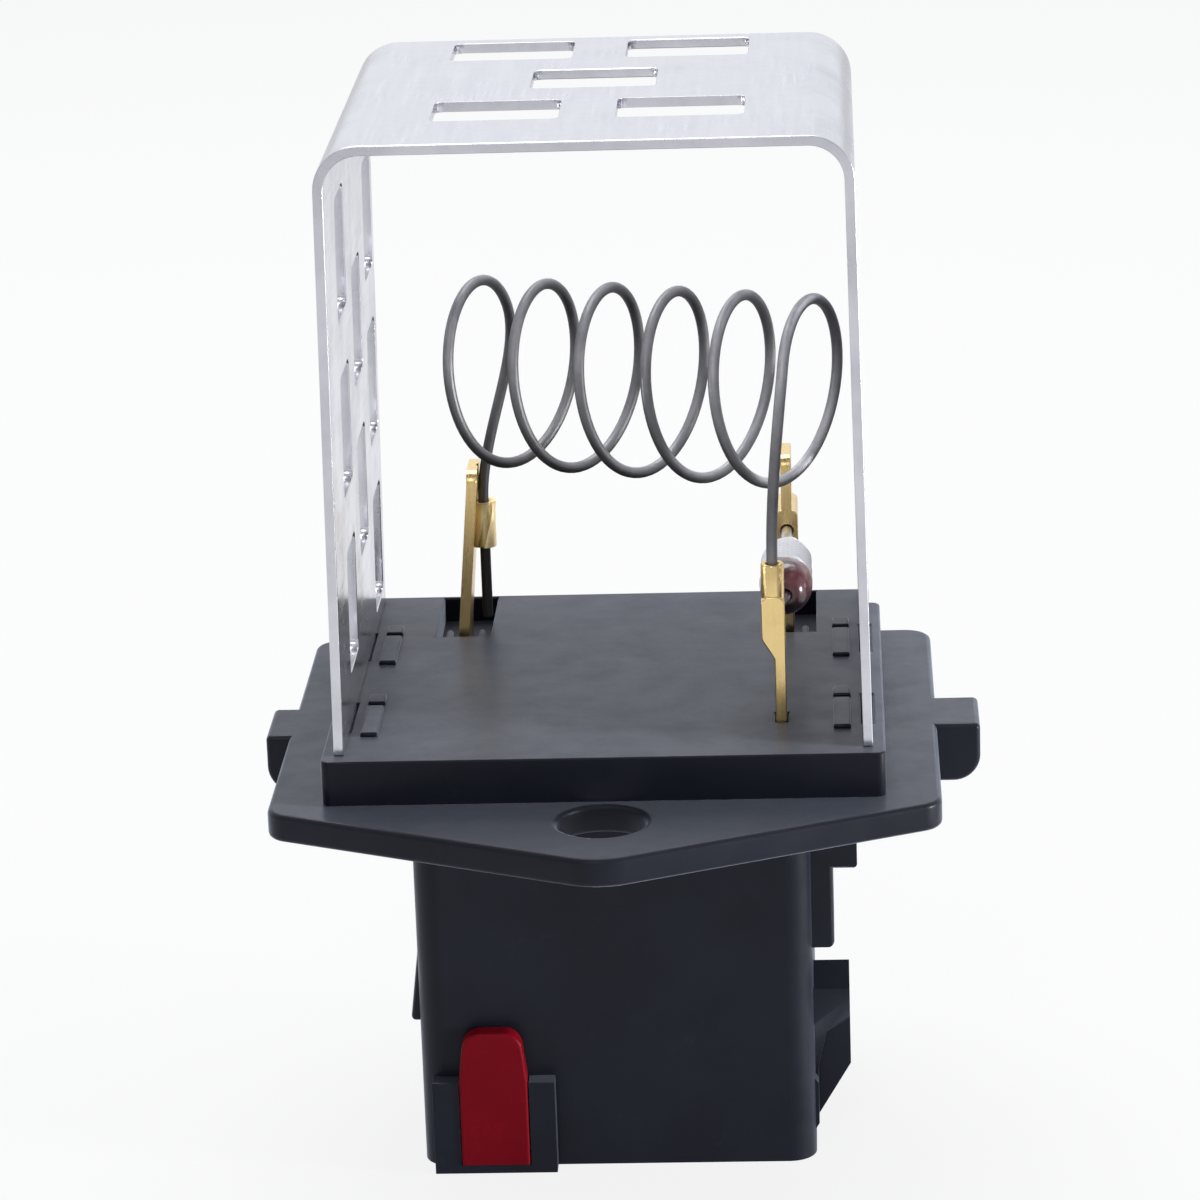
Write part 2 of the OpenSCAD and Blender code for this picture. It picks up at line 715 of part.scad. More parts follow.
// Section of the guard: outer face in, sheet thickness across
module guard_section() {
  function wall_corners(inset) = [
    [guard_w / 2 - inset, plate_top], [guard_top_w / 2 - inset, guard_top - inset],
    [-guard_top_w / 2 + inset, guard_top - inset], [-guard_w / 2 + inset, plate_top]
  ];
  difference() {
    rounded(wall_corners(0), [0, bend_r, bend_r, 0]);
    rounded(wall_corners(sheet_t), [0, bend_r - sheet_t, bend_r - sheet_t, 0]);
  }
}
// Vent slot about a point
module vent(at) {
  half = [vent_d, vent_h] / 2;
  rounded(box_corners(at - half, at + half), same(vent_r, 4));
}
vent_columns = floor((guard_d - 2 * vent_margin - vent_d) / vent_pitch);
// Y of a column of vents, counted from the back
function vent_y(column) = guard_back_y - vent_margin - vent_d / 2 - column * vent_pitch;
// Height of a column's lowest vent above the plate, within one rise
function vent_start(column) = (vent_first + (vent_columns - column) * vent_stagger) % vent_rise;
// Column of vents up a side wall
module wall_vents(column) {
  for (z = [vent_start(column):vent_rise:guard_h - bend_r - vent_h])
    vent([vent_y(column), plate_top + z + vent_h / 2]);
}
// Column of vents across the top, with one fewer in every other column
module top_vents(column) {
  most = floor((guard_top_w - 2 * bend_r - vent_h) / vent_rise);
  last = most - column % 2;
  for (i = [0:last]) vent([vent_y(column), (i - last / 2) * vent_rise]);
}
module guard() {
  color("#d8dae3") {
    difference() {
      upright(guard_front_y, guard_d) guard_section();
      for (column = [0:vent_columns]) {
        sideways(-guard_w, 2 * guard_w) wall_vents(column);
        rotate([0, -90, 0]) sideways(guard_top - bend_r, 2 * bend_r) top_vents(column);
      }
    }
    both_sides() for (y = clip_ys) guard_tab(y);
  }
}

module resistor_coil() {
  color("#69696b") swept_wire(coil_path(), wire_d / 2, coil_axis);
}

// Upright strip with rounded top corners, leaning sideways from the plate to those corners
module strip(x, back, w, high, lean = 0) {
  half = strip_t / 2;
  top_r = min(strip_r, w / 3);
  lean_top = high - strip_r;
  sides = box_corners([behind(back) - w / 2, bus_z], [behind(back) + w / 2, high]);
  intersection() {
    sideways(x - strip_w / 2, strip_w) rounded(sides, [0, 0, top_r, top_r]);
    upright(behind(back) - w, 2 * w) translate([x, 0]) polygon([
      [-half, bus_z], [half, bus_z], [half, plate_top], [half + lean, lean_top], [half + lean, high],
      [-half + lean, high], [-half + lean, lean_top], [-half, plate_top]
    ]);
  }
}
// Folded clamp on a fuse lead, leaf-shaped down to the strip, whose middle may stand aside
module lead_clamp(x, back, w, aside = 0) {
  half = [clamp_w, clamp_h] / 2;
  low = clamp_low - fuse_axis_z;
  corners = [
    [aside + strip_t / 2, low], [half.x, -half.y], half, [-half.x, half.y], -half, [aside - strip_t / 2, low]
  ];
  r = clamp_w / 3;
  right_r = aside > 0 ? 0 : r;
  translate([x, 0, fuse_axis_z])
    upright(behind(back) - w / 2, w) rounded(corners, [0, right_r, r, r, r, 0]);
}
module left_terminal() {
  color("#d6a650") difference() {
    union() {
      strip(-left_x, left_back, strip_w, left_top, left_lean);
      translate(left_crimp_top - [0, 0, left_crimp_h]) cylinder(r = crimp_r, h = left_crimp_h);
      mirror([1, 0, 0]) {
        translate([0, 0, bus_z]) linear_extrude(strip_t) bus_plan(left_x, left_back);
        blade();
      }
    }
    translate(left_crimp_top - [0, 0, 2 * left_crimp_h]) cylinder(r = wire_bore_r, h = 3 * left_crimp_h);
  }
}
module front_terminal() {
  color("#dcae58") difference() {
    union() {
      strip(front_x, front_back, front_w, fuse_axis_z);
      lead_clamp(clamp_x, front_back, front_w, clamp_aside);
      translate(front_crimp_top - [0, 0, front_crimp_h]) cylinder(r = crimp_r, h = front_crimp_h);
      translate([0, 0, bus_z]) linear_extrude(strip_t) front_foot_plan();
    }
    rod_y(lead_bore_r, clamp_x, lead_front_y - fit, fuse_axis_z, front_w);
    translate([front_crimp_top.x, front_crimp_top.y, clamp_top])
      cylinder(r = wire_bore_r, h = 2 * front_crimp_h);
  }
}
module rear_terminal() {
  color("#cf9f4a") difference() {
    union() {
      strip(right_x, rear_back, strip_w, plate_top + rear_h);
      lead_clamp(right_x, rear_back, strip_w);
      translate([0, 0, bus_z]) linear_extrude(strip_t) bus_plan(right_x, rear_back);
      blade();
    }
    rod_y(lead_bore_r, right_x, behind(rear_back) - strip_w, fuse_axis_z, 2 * strip_w);
  }
}

module fuse_sleeve() {
  color("#dfdfda") difference() {
    rod_y(sleeve_d / 2, right_x, sleeve_y, fuse_axis_z, sleeve_l);
    rod_y(case_d / 2 + fit, right_x, sleeve_y - bite, fuse_axis_z, sleeve_l + 2 * bite);
  }
}
module fuse_case() {
  color("#b9babd") difference() {
    rod_y(case_d / 2, right_x, sleeve_y, fuse_axis_z, case_l);
    rod_y(case_bore_r, right_x, sleeve_y - bite, fuse_axis_z, case_l - case_wall + bite);
  }
}
// Resin bead: a dome round the front lead, flat where it meets the sleeve
module fuse_bead() {
  r = bead_d / 2;
  nose = bead_l * 2 / 3;
  dome = [for (a = [0:90 / dome_steps:90]) [lead_bore_r + (r - lead_bore_r) * sin(a), nose * (1 - cos(a))]];
  color("#5b2b2c") translate([right_x, sleeve_y - bead_l, fuse_axis_z]) rotate([-90, 0, 0])
    rotate_extrude() polygon(concat(dome, [[r, bead_l], [lead_bore_r, bead_l]]));
}
module fuse_front_lead() {
  color("#c9c9cb") swept_wire(lead_path(), lead_d / 2, [0, 0, 1]);
}
module fuse_rear_lead() {
  end = behind(rear_back) + strip_w / 2 + strip_t / 2;
  color("#c9c9cb") rod_y(lead_d / 2, right_x, case_end_y, fuse_axis_z, end - case_end_y);
}
module fuse_bushing() {
  color("#efece2") difference() {
    rod_y(case_bore_r - fit, right_x, sleeve_y, fuse_axis_z, bushing_l);
    rod_y(lead_bore_r, right_x, sleeve_y - bite, fuse_axis_z, bushing_l + 2 * bite);
  }
}
module fuse_contact() {
  color("#c8ccd0") rod_y(case_bore_r - fit, right_x, contact_y, fuse_axis_z, contact_t);
}
module fuse_spring() {
  color("#9aa0a6") swept_wire(spring_path(), spring_wire / 2, [0, 1, 0]);
}
module fuse_pellet() {
  end = case_end_y - case_wall - fit;
  color("#c7b68a") rod_y(case_bore_r - fit, right_x, pellet_y, fuse_axis_z, end - pellet_y);
}

// Red lock: a round-tipped tongue on a wider foot that runs in the rails
module lock_slide() {
  half = lock_w / 2;
  shoulder = rail_top - bite;
  tongue = [
    [-half, -foot_low], [half, -foot_low], [half, -shoulder], [lock_tip_w / 2, -lock_top],
    [-lock_tip_w / 2, -lock_top], [-half, -shoulder]
  ];
  tip_r = lock_tip_w / 3;
  foot = [half + lock_foot, foot_h];
  color("#c5282b") translate([-lock_x, 0, 0]) {
    upright(conn_front_y - fit - lock_t, lock_t) rounded(tongue, [0, 0, 0, tip_r, tip_r, 0]);
    box([-foot.x, conn_front_y - foot_t, -foot_low], [foot.x, conn_front_y - fit, -foot_low + foot.y]);
  }
}

connector_housing();
terminal_plate();
guard();
resistor_coil();
left_terminal();
front_terminal();
rear_terminal();
fuse_sleeve();
fuse_case();
fuse_bead();
fuse_front_lead();
fuse_rear_lead();
fuse_bushing();
fuse_contact();
fuse_spring();
fuse_pellet();
lock_slide();
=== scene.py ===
"""Looks of the cooling fan resistor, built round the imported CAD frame. Metres, row frame, Z up."""
import math

import bmesh
import bpy
from mathutils import Matrix, Vector


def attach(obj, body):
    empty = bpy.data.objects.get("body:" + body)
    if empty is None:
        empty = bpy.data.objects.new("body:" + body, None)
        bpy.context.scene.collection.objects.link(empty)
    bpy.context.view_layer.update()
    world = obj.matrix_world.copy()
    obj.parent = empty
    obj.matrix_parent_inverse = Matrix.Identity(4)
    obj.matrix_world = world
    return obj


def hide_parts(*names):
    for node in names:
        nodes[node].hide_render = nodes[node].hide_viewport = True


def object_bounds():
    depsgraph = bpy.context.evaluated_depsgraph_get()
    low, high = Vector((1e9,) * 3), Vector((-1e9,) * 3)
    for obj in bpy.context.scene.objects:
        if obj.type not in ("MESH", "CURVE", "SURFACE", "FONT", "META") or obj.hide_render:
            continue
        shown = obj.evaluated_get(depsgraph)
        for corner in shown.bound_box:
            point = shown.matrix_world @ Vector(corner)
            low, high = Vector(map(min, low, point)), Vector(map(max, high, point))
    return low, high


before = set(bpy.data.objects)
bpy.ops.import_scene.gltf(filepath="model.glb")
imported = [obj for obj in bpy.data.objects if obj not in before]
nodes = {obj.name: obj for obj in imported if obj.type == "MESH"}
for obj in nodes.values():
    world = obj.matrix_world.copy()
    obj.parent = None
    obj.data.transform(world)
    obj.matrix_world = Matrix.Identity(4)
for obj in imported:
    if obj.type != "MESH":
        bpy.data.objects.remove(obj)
cad_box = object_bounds()
scene = bpy.context.scene
scene.view_settings.view_transform = "Standard"
MM = 0.001

# Places and sizes that the source also names, in millimetres and radians
FUSE_X = 16.4
FUSE_Z = 16.5
BEAD_FRONT = 20.6
BEAD_NOSE = 2.9
BEAD_R = 2.5
LEAD_BORE_R = 0.6
SLEEVE_FRONT = 25.0
SLEEVE_BACK = 31.3
SLEEVE_R = 2.4
SLEEVE_BORE_R = 1.9
LEFT_CRIMP_TOP = (-12.56, 44.5, 19.05)
FRONT_CRIMP_TOP = (15.3, 14.9, 21.4)
FRONT_WIRE_END = 18.6
CRIMP_R = 1.05
LEFT_CRIMP_H = 4.5
WIRE_TAIL_Z = 7.4
WIRE_R = 0.5
COIL_MID = (3.8, 28.4, 34.8)
COIL_R = 8.4
COIL_PITCH = 6.9
COIL_TURNS = 5.5
COIL_LEAVE = 0.09
COIL_TURN = math.radians(27.2)
COIL_TILT = math.radians(2.5)

# Rounds on the edges, in millimetres, and their steps
HOUSING_ROUND = 0.45
PLATE_ROUND = 0.22
LOCK_ROUND = 0.25
SHEET_ROUND = 0.12
ROUND_STEPS = 3

# Points closer than the weld become one, and edges shorter than a sliver vanish, in millimetres
WELD = 0.007
SLIVER = 0.0005

# Angle between two faces up to which they are one flat face
FLAT_ANGLE = math.radians(0.3)
# Angle above which an outer edge is rounded
ROUND_ANGLE = math.radians(33)
# Angle above which an edge is shaded sharp, and the lower one that counts where a single sharp edge runs out
SHARP_ANGLE = math.radians(48)
END_ANGLE = math.radians(12)

# Rolled wings of the crimp, in millimetres beyond and inside its barrel, and their form
WING_OUT = 0.07
WING_IN = 0.1
WING_FLARE = 0.14
WING_DIP = 0.16
WING_DIP_SHARE = 0.035
WING_GAP = math.radians(8)
WING_SEAM = math.radians(-75)
WING_TWIST = math.radians(70)

# Heights between which the painted shade on the wire's left leg fades, and between which the resin turns
# nearly black towards its bottom, in millimetres
LEG_SHADE_LOW = 23.0
LEG_SHADE_HIGH = 32.0
BEAD_DARK_LOW = FUSE_Z - 0.9
BEAD_DARK_HIGH = FUSE_Z + 1.1

# Camera fitted to the photograph: place in millimetres, angles in radians, focal length in its pixels
CAMERA_PLACE = (21.406, -404.33, 151.58)
CAMERA_PITCH = 0.3076
CAMERA_YAW = -0.0515
CAMERA_ROLL = -0.0349
FOCAL_PIXELS = 4907.1
PHOTO_PIXELS = 1200
SENSOR = 36

# Gap between the CAD box and the floor, in millimetres
FLOOR_GAP = 0.02
# Half the floor's width, and the point that the lamps look at, in metres
FLOOR_REACH = 6.0
AIM = (0, 0.03, 0.01)


# Node helpers

def add(tree, kind, links=None, **settings):
    """A node of a kind, with its settings, and its inputs linked or set."""
    made = tree.nodes.new(kind)
    for key, value in settings.items():
        setattr(made, key, value)
    for key, value in (links or {}).items():
        if isinstance(value, bpy.types.NodeSocket):
            tree.links.new(value, made.inputs[key])
        else:
            made.inputs[key].default_value = value
    return made


def new_material(name, **sockets):
    """A material whose shader has these constant values on its own sockets."""
    mat = bpy.data.materials.new(name)
    mat.use_nodes = True
    shader = mat.node_tree.nodes["Principled BSDF"]
    for key, value in sockets.items():
        shader.inputs[key.replace("_", " ")].default_value = value
    return mat, mat.node_tree, shader


def places(tree, scale=(1, 1, 1)):
    """Object coordinates, stretched."""
    coords = add(tree, "ShaderNodeTexCoord").outputs["Object"]
    return add(tree, "ShaderNodeMapping", {"Vector": coords, "Scale": scale}).outputs["Vector"]


def axes_of(tree, vector):
    """The X, Y and Z of a vector."""
    return add(tree, "ShaderNodeSeparateXYZ", {"Vector": vector}).outputs


def noise(tree, where, scale, detail=3.0, rough=0.55):
    """Noise from 0 to 1 with features of about 1/scale."""
    return add(
        tree, "ShaderNodeTexNoise", {"Vector": where, "Scale": scale, "Detail": detail, "Roughness": rough}
    ).outputs["Fac"]


def ramp(tree, value, *stops):
    """Colours or greys at positions."""
    made = add(tree, "ShaderNodeValToRGB", {"Fac": value})
    points = made.color_ramp.elements
    while len(points) < len(stops):
        points.new(0.5)
    for point, (position, colour) in zip(points, stops):
        point.position = position
        point.color = (*colour, 1) if hasattr(colour, "__len__") else (colour, colour, colour, 1)
    return made.outputs["Color"]


def between(tree, value, low, high, start=0.0, end=1.0):
    """Value from start..end mapped to low..high."""
    return add(
        tree, "ShaderNodeMapRange",
        {"Value": value, "From Min": start, "From Max": end, "To Min": low, "To Max": high},
    ).outputs["Result"]


def mixed(tree, share, a, b, blend="MIX"):
    """Colour a turned into b by a share."""
    made = add(tree, "ShaderNodeMix", data_type="RGBA", blend_type=blend)
    for index, value in ((0, share), (6, a), (7, b)):
        if isinstance(value, bpy.types.NodeSocket):
            tree.links.new(value, made.inputs[index])
        else:
            made.inputs[index].default_value = (*value, 1) if hasattr(value, "__len__") else value
    return made.outputs[2]


def math_node(tree, operation, a, b=0.0):
    """One step of arithmetic on sockets or numbers."""
    made = add(tree, "ShaderNodeMath", operation=operation)
    for index, value in enumerate((a, b)):
        if isinstance(value, bpy.types.NodeSocket):
            tree.links.new(value, made.inputs[index])
        else:
            made.inputs[index].default_value = value
    return made.outputs[0]


def bumped(tree, shader, height, strength, distance, under=None):
    """Height as a bump on the shader."""
    links = {"Height": height, "Strength": strength, "Distance": distance}
    if under is not None:
        links["Normal"] = under
    made = add(tree, "ShaderNodeBump", links)
    tree.links.new(made.outputs["Normal"], shader.inputs["Normal"])
    return made.outputs["Normal"]


# Materials

def moulded(name, dark, light, rough, grain=1.0, specular=0.3, sheen=0.0):
    """Satin moulded plastic: mottled colour, spark grain, faint scuffs, dust that shows at a low angle."""
    mat, tree, shader = new_material(
        name, Specular_IOR_Level=specular,
        Sheen_Weight=sheen, Sheen_Roughness=0.35, Sheen_Tint=(0.74, 0.83, 1.0, 1),
    )
    where = places(tree)
    cloud = noise(tree, where, scale=90, detail=4, rough=0.6)
    base = ramp(tree, cloud, (0.3, dark), (0.7, light))
    streaks = noise(tree, places(tree, (60, 520, 60)), scale=4, detail=6, rough=0.7)
    scuff = ramp(tree, streaks, (0.62, 0.0), (0.72, 1.0))
    pale = tuple(min(1, 1.9 * c + 0.01) for c in light)
    scuff_strength = 0.25
    worn = mixed(tree, math_node(tree, "MULTIPLY", scuff, scuff_strength), base, pale)
    tree.links.new(worn, shader.inputs["Base Color"])
    patches = noise(tree, where, scale=260, detail=5, rough=0.6)
    gloss = between(tree, patches, rough - 0.08, rough + 0.1, start=0.3, end=0.7)
    tree.links.new(gloss, shader.inputs["Roughness"])
    fine = noise(tree, where, scale=5200, detail=2)
    under = bumped(tree, shader, fine, strength=0.16 * grain, distance=0.00004)
    waves = noise(tree, where, scale=420, detail=3)
    bumped(tree, shader, waves, strength=0.05 * grain, distance=0.0002, under=under)
    return mat


def sheet_metal(name, base, dull, rough, along, grain=1.0, metallic=1.0):
    """Rolled or stamped metal with streaks along one axis."""
    mat, tree, shader = new_material(name, Metallic=metallic)
    stretch = tuple(0.04 if axis == along else 1.0 for axis in range(3))
    streaks = noise(tree, places(tree, stretch), scale=2600, detail=4, rough=0.65)
    smudge = noise(tree, places(tree), scale=130, detail=5, rough=0.6)
    colour = mixed(tree, ramp(tree, smudge, (0.42, 0.0), (0.72, 0.8)), base, dull)
    tree.links.new(colour, shader.inputs["Base Color"])
    patch = math_node(
        tree, "ADD",
        between(tree, smudge, -0.06, 0.08, start=0.3, end=0.7),
        between(tree, streaks, -0.05, 0.05, start=0.3, end=0.7),
    )
    tree.links.new(math_node(tree, "ADD", patch, rough), shader.inputs["Roughness"])
    bumped(tree, shader, streaks, strength=0.07 * grain, distance=0.00003)
    return mat


def wire_metal():
    """Oxidised resistance wire, with painted light on upward faces, painted shade on sideways and downward
    faces, painted light towards the right, and painted shade low on the left leg.
    """
    mat, tree, shader = new_material("resistance_wire", Metallic=0.55, Specular_Tint=(0.45, 0.45, 0.46, 1))
    where = places(tree)
    scale = noise(tree, where, scale=240, detail=5, rough=0.65)
    grey = ramp(tree, scale, (0.3, (0.17, 0.17, 0.178)), (0.7, (0.28, 0.277, 0.287)))
    axes = axes_of(tree, where)
    normal = add(tree, "ShaderNodeNewGeometry").outputs["Normal"]
    # Painted light on upward faces and painted shade on sideways and downward ones: the colour runs from 0.4
    # times below to 1.8 times on top
    upward = between(tree, axes_of(tree, normal)["Z"], 0.0, 1.0, start=-0.7, end=0.7)
    painted_light_and_shade = between(tree, math_node(tree, "POWER", upward, 2.0), 0.4, 1.8)
    # Painted light towards the right: the colour grows up to 1.7 times from the coil's middle to the front
    # crimp
    painted_right_light = between(tree, axes["X"], 1.0, 1.7, start=COIL_MID[0] * MM, end=FRONT_CRIMP_TOP[0] * MM)
    grey = mixed(tree, 1.0, grey, math_node(tree, "MULTIPLY", painted_light_and_shade, painted_right_light), "MULTIPLY")
    # Painted shade on the left leg: nearly black low down on the left, fading out upwards and towards the
    # middle
    low = between(tree, axes["Z"], 1.0, 0.0, start=LEG_SHADE_LOW * MM, end=LEG_SHADE_HIGH * MM)
    left = between(tree, axes["X"], 1.0, 0.0, start=LEFT_CRIMP_TOP[0] * MM, end=0.0)
    painted_leg_shade = mixed(tree, math_node(tree, "MULTIPLY", low, left), grey, (0.045, 0.044, 0.046))
    tree.links.new(painted_leg_shade, shader.inputs["Base Color"])
    tree.links.new(between(tree, scale, 0.40, 0.56, start=0.3, end=0.7), shader.inputs["Roughness"])
    bumped(tree, shader, noise(tree, where, scale=3800, detail=3), strength=0.2, distance=0.00004)
    return mat


def resin():
    """Glossy maroon potting resin with slow ripples, nearly black towards the bottom."""
    mat, tree, shader = new_material("maroon_resin", Coat_Weight=0.35, Coat_Roughness=0.08)
    where = places(tree)
    cloud = noise(tree, where, scale=420, detail=4)
    maroon = ramp(tree, cloud, (0.3, (0.075, 0.017, 0.021)), (0.75, (0.13, 0.036, 0.041)))
    height = axes_of(tree, where)["Z"]
    # The colour turns nearly black towards the bottom of the bead
    darker_below = between(tree, height, 1.0, 0.0, start=BEAD_DARK_LOW * MM, end=BEAD_DARK_HIGH * MM)
    tree.links.new(mixed(tree, darker_below, maroon, (0.012, 0.008, 0.010)), shader.inputs["Base Color"])
    tree.links.new(between(tree, cloud, 0.16, 0.3), shader.inputs["Roughness"])
    bumped(tree, shader, noise(tree, where, scale=700, detail=2), strength=0.3, distance=0.0002)
    return mat


def glass_sleeve():
    """Whitish woven sleeve: two crossing sets of fine strands round the fuse's axis, and stains."""
    mat, tree, shader = new_material("glass_sleeve", Roughness=0.7, Sheen_Weight=0.2)
    where = places(tree)
    axes = axes_of(tree, where)
    across = math_node(tree, "SUBTRACT", axes["X"], FUSE_X * MM)
    up = math_node(tree, "SUBTRACT", axes["Z"], FUSE_Z * MM)
    strand_count, strand_lean = 18, 8200
    turn = math_node(tree, "MULTIPLY", math_node(tree, "ARCTAN2", up, across), strand_count)
    run = math_node(tree, "MULTIPLY", axes["Y"], strand_lean)
    strands = [
        math_node(tree, "SINE", math_node(tree, operation, turn, run)) for operation in ("ADD", "SUBTRACT")
    ]
    weave = math_node(tree, "MAXIMUM", *strands)
    lifted = between(tree, weave, 0, 1, start=-1, end=1)
    white = ramp(tree, lifted, (0.3, (0.82, 0.82, 0.83)), (0.7, (0.93, 0.93, 0.94)))
    stain = ramp(tree, noise(tree, where, scale=520, detail=4, rough=0.6), (0.55, 0.0), (0.78, 0.5))
    tree.links.new(mixed(tree, stain, white, (0.46, 0.45, 0.45)), shader.inputs["Base Color"])
    bumped(tree, shader, weave, strength=0.35, distance=0.00006)
    return mat


def plain(name, dark, light, rough, metallic=0.0):
    """Small inner pieces: two-tone noise with a fine bump."""
    mat, tree, shader = new_material(name, Metallic=metallic)
    grain = noise(tree, places(tree), scale=900, detail=4)
    tree.links.new(ramp(tree, grain, (0.35, dark), (0.7, light)), shader.inputs["Base Color"])
    tree.links.new(between(tree, grain, rough - 0.06, rough + 0.08), shader.inputs["Roughness"])
    bumped(tree, shader, grain, strength=0.1, distance=0.00004)
    return mat


HOUSING = moulded(
    "housing_plastic", (0.005, 0.006, 0.012), (0.009, 0.011, 0.020), rough=0.38, specular=0.20, sheen=0.55,
)
PLATE = moulded(
    "plate_plastic", (0.003, 0.004, 0.009), (0.006, 0.007, 0.014), rough=0.36, specular=0.16, sheen=0.65,
)
LOCK = moulded(
    "lock_plastic", (0.17, 0.001, 0.007), (0.21, 0.002, 0.010), rough=0.40, grain=0.6, specular=0.10,
)
GUARD = sheet_metal("guard_sheet", (0.72, 0.72, 0.76), (0.55, 0.55, 0.60), rough=0.20, along=1)
BRASS = sheet_metal("terminal_brass", (0.92, 0.69, 0.31), (0.66, 0.45, 0.19), rough=0.26, along=2, grain=1.6)
# A lighter, less metallic copy of the terminal brass for the crimp's wings: painted highlight
PAINTED_HIGHLIGHT_BRASS = sheet_metal(
    "painted_highlight_brass", (0.98, 0.79, 0.43), (0.86, 0.65, 0.32), rough=0.38, along=2, metallic=0.75,
)
WIRE = wire_metal()
RESIN = resin()
SLEEVE = glass_sleeve()
TINNED = plain("tinned_metal", (0.55, 0.55, 0.56), (0.74, 0.74, 0.76), rough=0.3, metallic=1.0)
SMEARED = plain("smeared_lead", (0.10, 0.07, 0.07), (0.22, 0.18, 0.18), rough=0.34, metallic=1.0)
CERAMIC = plain("ceramic", (0.74, 0.71, 0.64), (0.86, 0.84, 0.78), rough=0.6)
PELLET = plain("pellet", (0.50, 0.41, 0.24), (0.64, 0.55, 0.36), rough=0.7)


# Geometry helpers

def shade(bm):
    """Smooth faces with sharp steep edges.

    Where a single steep edge runs out, the edges round its end are sharp too.
    """
    for face in bm.faces:
        face.smooth = True
    steep = {e for e in bm.edges if e.calc_face_angle(0) > SHARP_ANGLE}
    ends = [v for v in bm.verts if sum(e in steep for e in v.link_edges) == 1]
    steep.update(e for v in ends for e in v.link_edges if e.calc_face_angle(0) > END_ANGLE)
    for edge in steep:
        edge.smooth = False


def finished(bm, name, mat, slot, body, *replaced):
    """A smooth-shaded piece from a bmesh, riding on a body in place of CAD nodes."""
    mesh = bpy.data.meshes.new(name)
    bm.normal_update()
    shade(bm)
    bm.to_mesh(mesh)
    bm.free()
    mesh.materials.append(mat)
    piece = bpy.data.objects.new(name, mesh)
    scene.collection.objects.link(piece)
    weighted = piece.modifiers.new("flat_faces", "WEIGHTED_NORMAL")
    weighted.keep_sharp = True
    weighted.weight = 90
    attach(piece, body)
    if replaced:
        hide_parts(*replaced)


def runs(edges):
    """Edges in groups that hang together, in the order in which they come."""
    waiting = dict.fromkeys(edges)
    groups = []
    while waiting:
        first = next(iter(waiting))
        del waiting[first]
        group = [first]
        for edge in group:
            for near in [e for vert in edge.verts for e in vert.link_edges if e in waiting]:
                del waiting[near]
                group.append(near)
        groups.append(group)
    return groups


def dressed(node, name, mat, slot, width, body="base"):
    """A CAD node's shape with its outer edges rounded, each run of edges as far as it has room.

    Edges that end on another edge too short for the round stay sharp, and so hold back no others.
    """
    bm = bmesh.new()
    bm.from_mesh(nodes[node].data)
    bmesh.ops.remove_doubles(bm, verts=bm.verts, dist=WELD * MM)
    bmesh.ops.dissolve_limit(bm, angle_limit=FLAT_ANGLE, verts=bm.verts, edges=bm.edges)
    sharp = {
        e for e in bm.edges if len(e.link_faces) == 2 and e.is_convex and e.calc_face_angle(0) > ROUND_ANGLE
    }
    tight = {e for e in bm.edges if e not in sharp and e.calc_length() <= width * MM}
    roomy = [
        e for e in bm.edges
        if e in sharp and not any(near in tight for vert in e.verts for near in vert.link_edges)
    ]
    for run in runs(roomy):
        bmesh.ops.bevel(
            bm, geom=run, offset=width * MM, offset_type="OFFSET", segments=ROUND_STEPS, profile=0.5,
            affect="EDGES", clamp_overlap=True,
        )
    bmesh.ops.dissolve_degenerate(bm, dist=SLIVER * MM, edges=bm.edges)
    finished(bm, name, mat, slot, body, node)


def turns_of(sides):
    """Angles round a full turn."""
    return [2 * math.pi * k / sides for k in range(sides)]


def coil_wire(path):
    """The wire as a round closed tube along a path in millimetres, with chamfered ends."""
    sides, end_inset = 18, 0.8
    path = [Vector(p) * MM for p in path]
    bm = bmesh.new()
    heading = (path[1] - path[0]).normalized()
    side = heading.orthogonal().normalized()
    rings = []
    last = len(path) - 1
    for i, point in enumerate(path):
        heading = (path[min(i + 1, last)] - path[max(i - 1, 0)]).normalized()
        side = (side - heading * side.dot(heading)).normalized()
        other = heading.cross(side)
        radius = WIRE_R * MM * (end_inset if i in (0, last) else 1.0)
        rings.append([
            bm.verts.new(point + radius * (side * math.cos(a) + other * math.sin(a))) for a in turns_of(sides)
        ])
    for low, high in zip(rings, rings[1:]):
        for k in range(sides):
            bm.faces.new((low[k], low[(k + 1) % sides], high[(k + 1) % sides], high[k]))
    bm.faces.new(rings[0][::-1])
    bm.faces.new(rings[-1])
    finished(bm, "coil_wire", WIRE, "wire", "base", "resistor_coil")


def turned(profile, moved, name, mat, slot, *replaced):
    """A closed body turned about the fuse's axis from a loop of (y, r).

    Each point is moved along the axis and outwards by moved(y, r, angle).
    """
    bm = bmesh.new()
    sides = 72
    rings = []
    for y, r in profile:
        ring = []
        for a in turns_of(sides):
            dy, dr = moved(y, r, a)
            across, up = (r + dr) * math.cos(a), (r + dr) * math.sin(a)
            ring.append(bm.verts.new(Vector((FUSE_X + across, y + dy, FUSE_Z + up)) * MM))
        rings.append(ring)
    for low, high in zip(rings, rings[1:] + rings[:1]):
        for k in range(sides):
            bm.faces.new((low[k], high[k], high[(k + 1) % sides], low[(k + 1) % sides]))
    bmesh.ops.recalc_face_normals(bm, faces=bm.faces)
    finished(bm, name, mat, slot, "base", *replaced)


